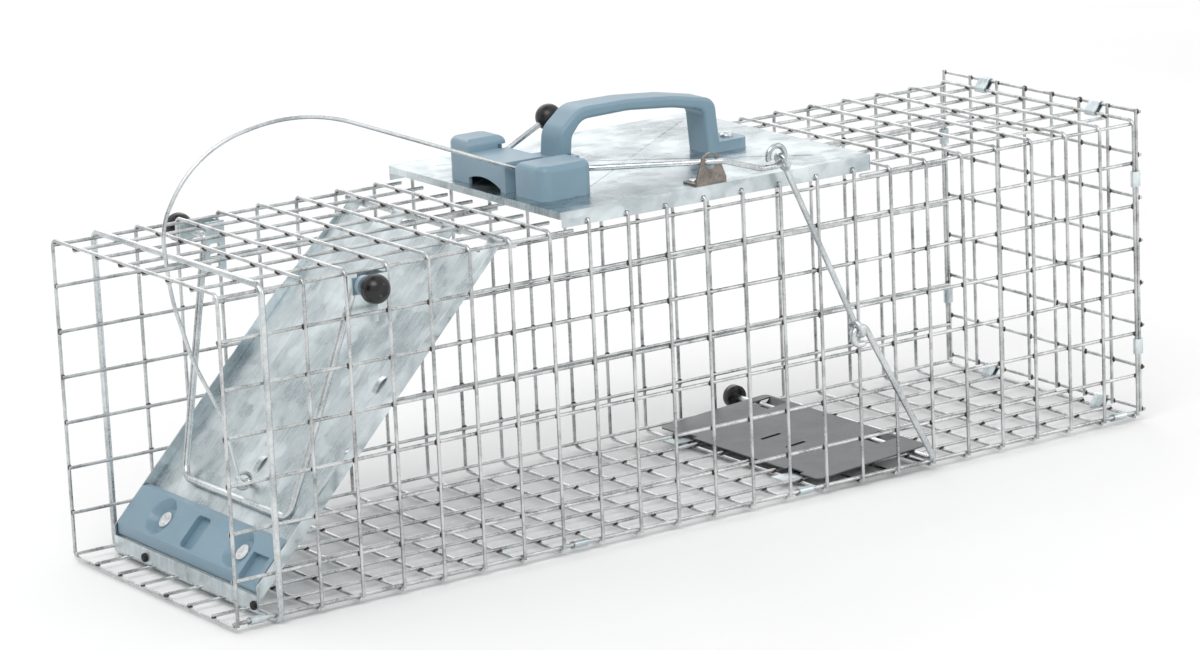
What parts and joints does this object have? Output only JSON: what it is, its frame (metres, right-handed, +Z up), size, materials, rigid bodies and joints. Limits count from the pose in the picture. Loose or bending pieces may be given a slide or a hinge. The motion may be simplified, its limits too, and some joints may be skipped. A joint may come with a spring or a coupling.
{
  "type": "live catch trap",
  "caption": "Long welded-wire cage trap with a sloping drop door, lock bar, top plate with carry handle and set lever, trip rods and a treadle pan.",
  "frame": {"origin": "middle of the cage on the surface it stands on", "axes": "+X along the cage towards its closed end, +Z up, the trip rod and link rod on the -Y side"},
  "size_m": [0.6165, 0.2224, 0.2489],
  "materials": {
    "zinc_wire": "hot-dip zinc, dull",
    "zinc_sheet": "zinc-coated sheet",
    "zinc_rod": "zinc-plated, smooth",
    "ear_steel": "bare, dull",
    "blue_grey_plastic": "moulded, fine grain",
    "black_plastic": "gloss",
    "dark_knob": "satin",
    "dark_pan": "dark matt coating",
    "rivet_aluminium": "bright",
    "bumper_rubber": "matt"
  },
  "bodies": {
    "cage": {"cross_wires_front": "zinc_wire", "cross_wires_rear": "zinc_wire", "near_side_uprights": "zinc_wire", "far_side_floor_wires": "zinc_wire", "near_long_wires": "zinc_wire", "far_long_wires": "zinc_wire", "floor_long_wires": "zinc_wire", "top_long_wires_front": "zinc_wire", "top_long_wires_rear": "zinc_wire", "end_panel_uprights": "zinc_wire", "end_panel_cross_wires": "zinc_wire", "seam_clips": "zinc_sheet", "end_panel_clips": "zinc_sheet", "door_frame_hoop": "zinc_rod", "door_hinge_rod": "zinc_rod", "top_plate": "zinc_sheet", "trip_rod_ear": "ear_steel", "ear_rivets": "rivet_aluminium", "carry_handle": "blue_grey_plastic", "handle_screw": "zinc_rod", "lever_housing": "blue_grey_plastic", "lock_bar_bracket_near": "zinc_sheet", "lock_bar_bracket_far": "zinc_sheet", "lock_bar_bushes": "blue_grey_plastic", "pan_stop_clips": "zinc_sheet"},
    "door": {"door_panel": "zinc_sheet", "door_pad": "blue_grey_plastic", "pad_rivets": "rivet_aluminium", "door_bumpers": "bumper_rubber", "lift_staple": "zinc_rod"},
    "lock_bar_body": {"lock_bar": "zinc_rod", "lock_bar_caps": "black_plastic"},
    "lever": {"lever_shaft": "zinc_rod", "latch_cam": "zinc_sheet", "lever_rod": "zinc_rod", "lever_knob": "dark_knob", "lift_wire": "zinc_rod"},
    "trip": {"trip_rod": "zinc_rod"},
    "link": {"link_rod": "zinc_rod"},
    "treadle": {"treadle_rod": "zinc_rod", "treadle_pan": "dark_pan", "treadle_rod_cap": "black_plastic"}
  },
  "joints": [
    {"name": "door_hinge", "type": "hinge", "parent": "cage", "child": "door", "pos_m": [-0.1215, 0, 0.1759], "axis": [0, 1, 0], "range_deg": [0, 37]},
    {"name": "lock_bar_pivot", "type": "hinge", "parent": "cage", "child": "lock_bar_body", "pos_m": [-0.2196, 0, 0.1716], "axis": [0, 1, 0], "range_deg": [0, 76]},
    {"name": "lever_pivot", "type": "hinge", "parent": "cage", "child": "lever", "pos_m": [-0.07, 0, 0.1995], "axis": [0, 1, 0], "range_deg": [0, 28.2]},
    {"name": "treadle_pivot", "type": "hinge", "parent": "cage", "child": "treadle", "pos_m": [0.147, 0, 0.009], "axis": [0, 1, 0], "range_deg": [0, 6]},
    {"name": "trip_rod_pivot", "type": "hinge", "parent": "cage", "child": "trip", "pos_m": [0.0065, -0.086, 0.2015], "axis": [0, 1, 0], "range_deg": [-2, 0]},
    {"name": "link_rod_pivot", "type": "hinge", "parent": "trip", "child": "link", "pos_m": [0.04736, -0.0965, 0.19664], "axis": [0, 1, 0], "range_deg": [-4, 0]}
  ],
  "couplings": [
    {"joint": "lock_bar_pivot", "follows": "door_hinge", "ratio": 2.05},
    {"joint": "lever_pivot", "follows": "door_hinge", "ratio": 0.7586},
    {"joint": "trip_rod_pivot", "follows": "treadle_pivot", "ratio": -0.25},
    {"joint": "link_rod_pivot", "follows": "treadle_pivot", "ratio": -0.55}
  ]
}
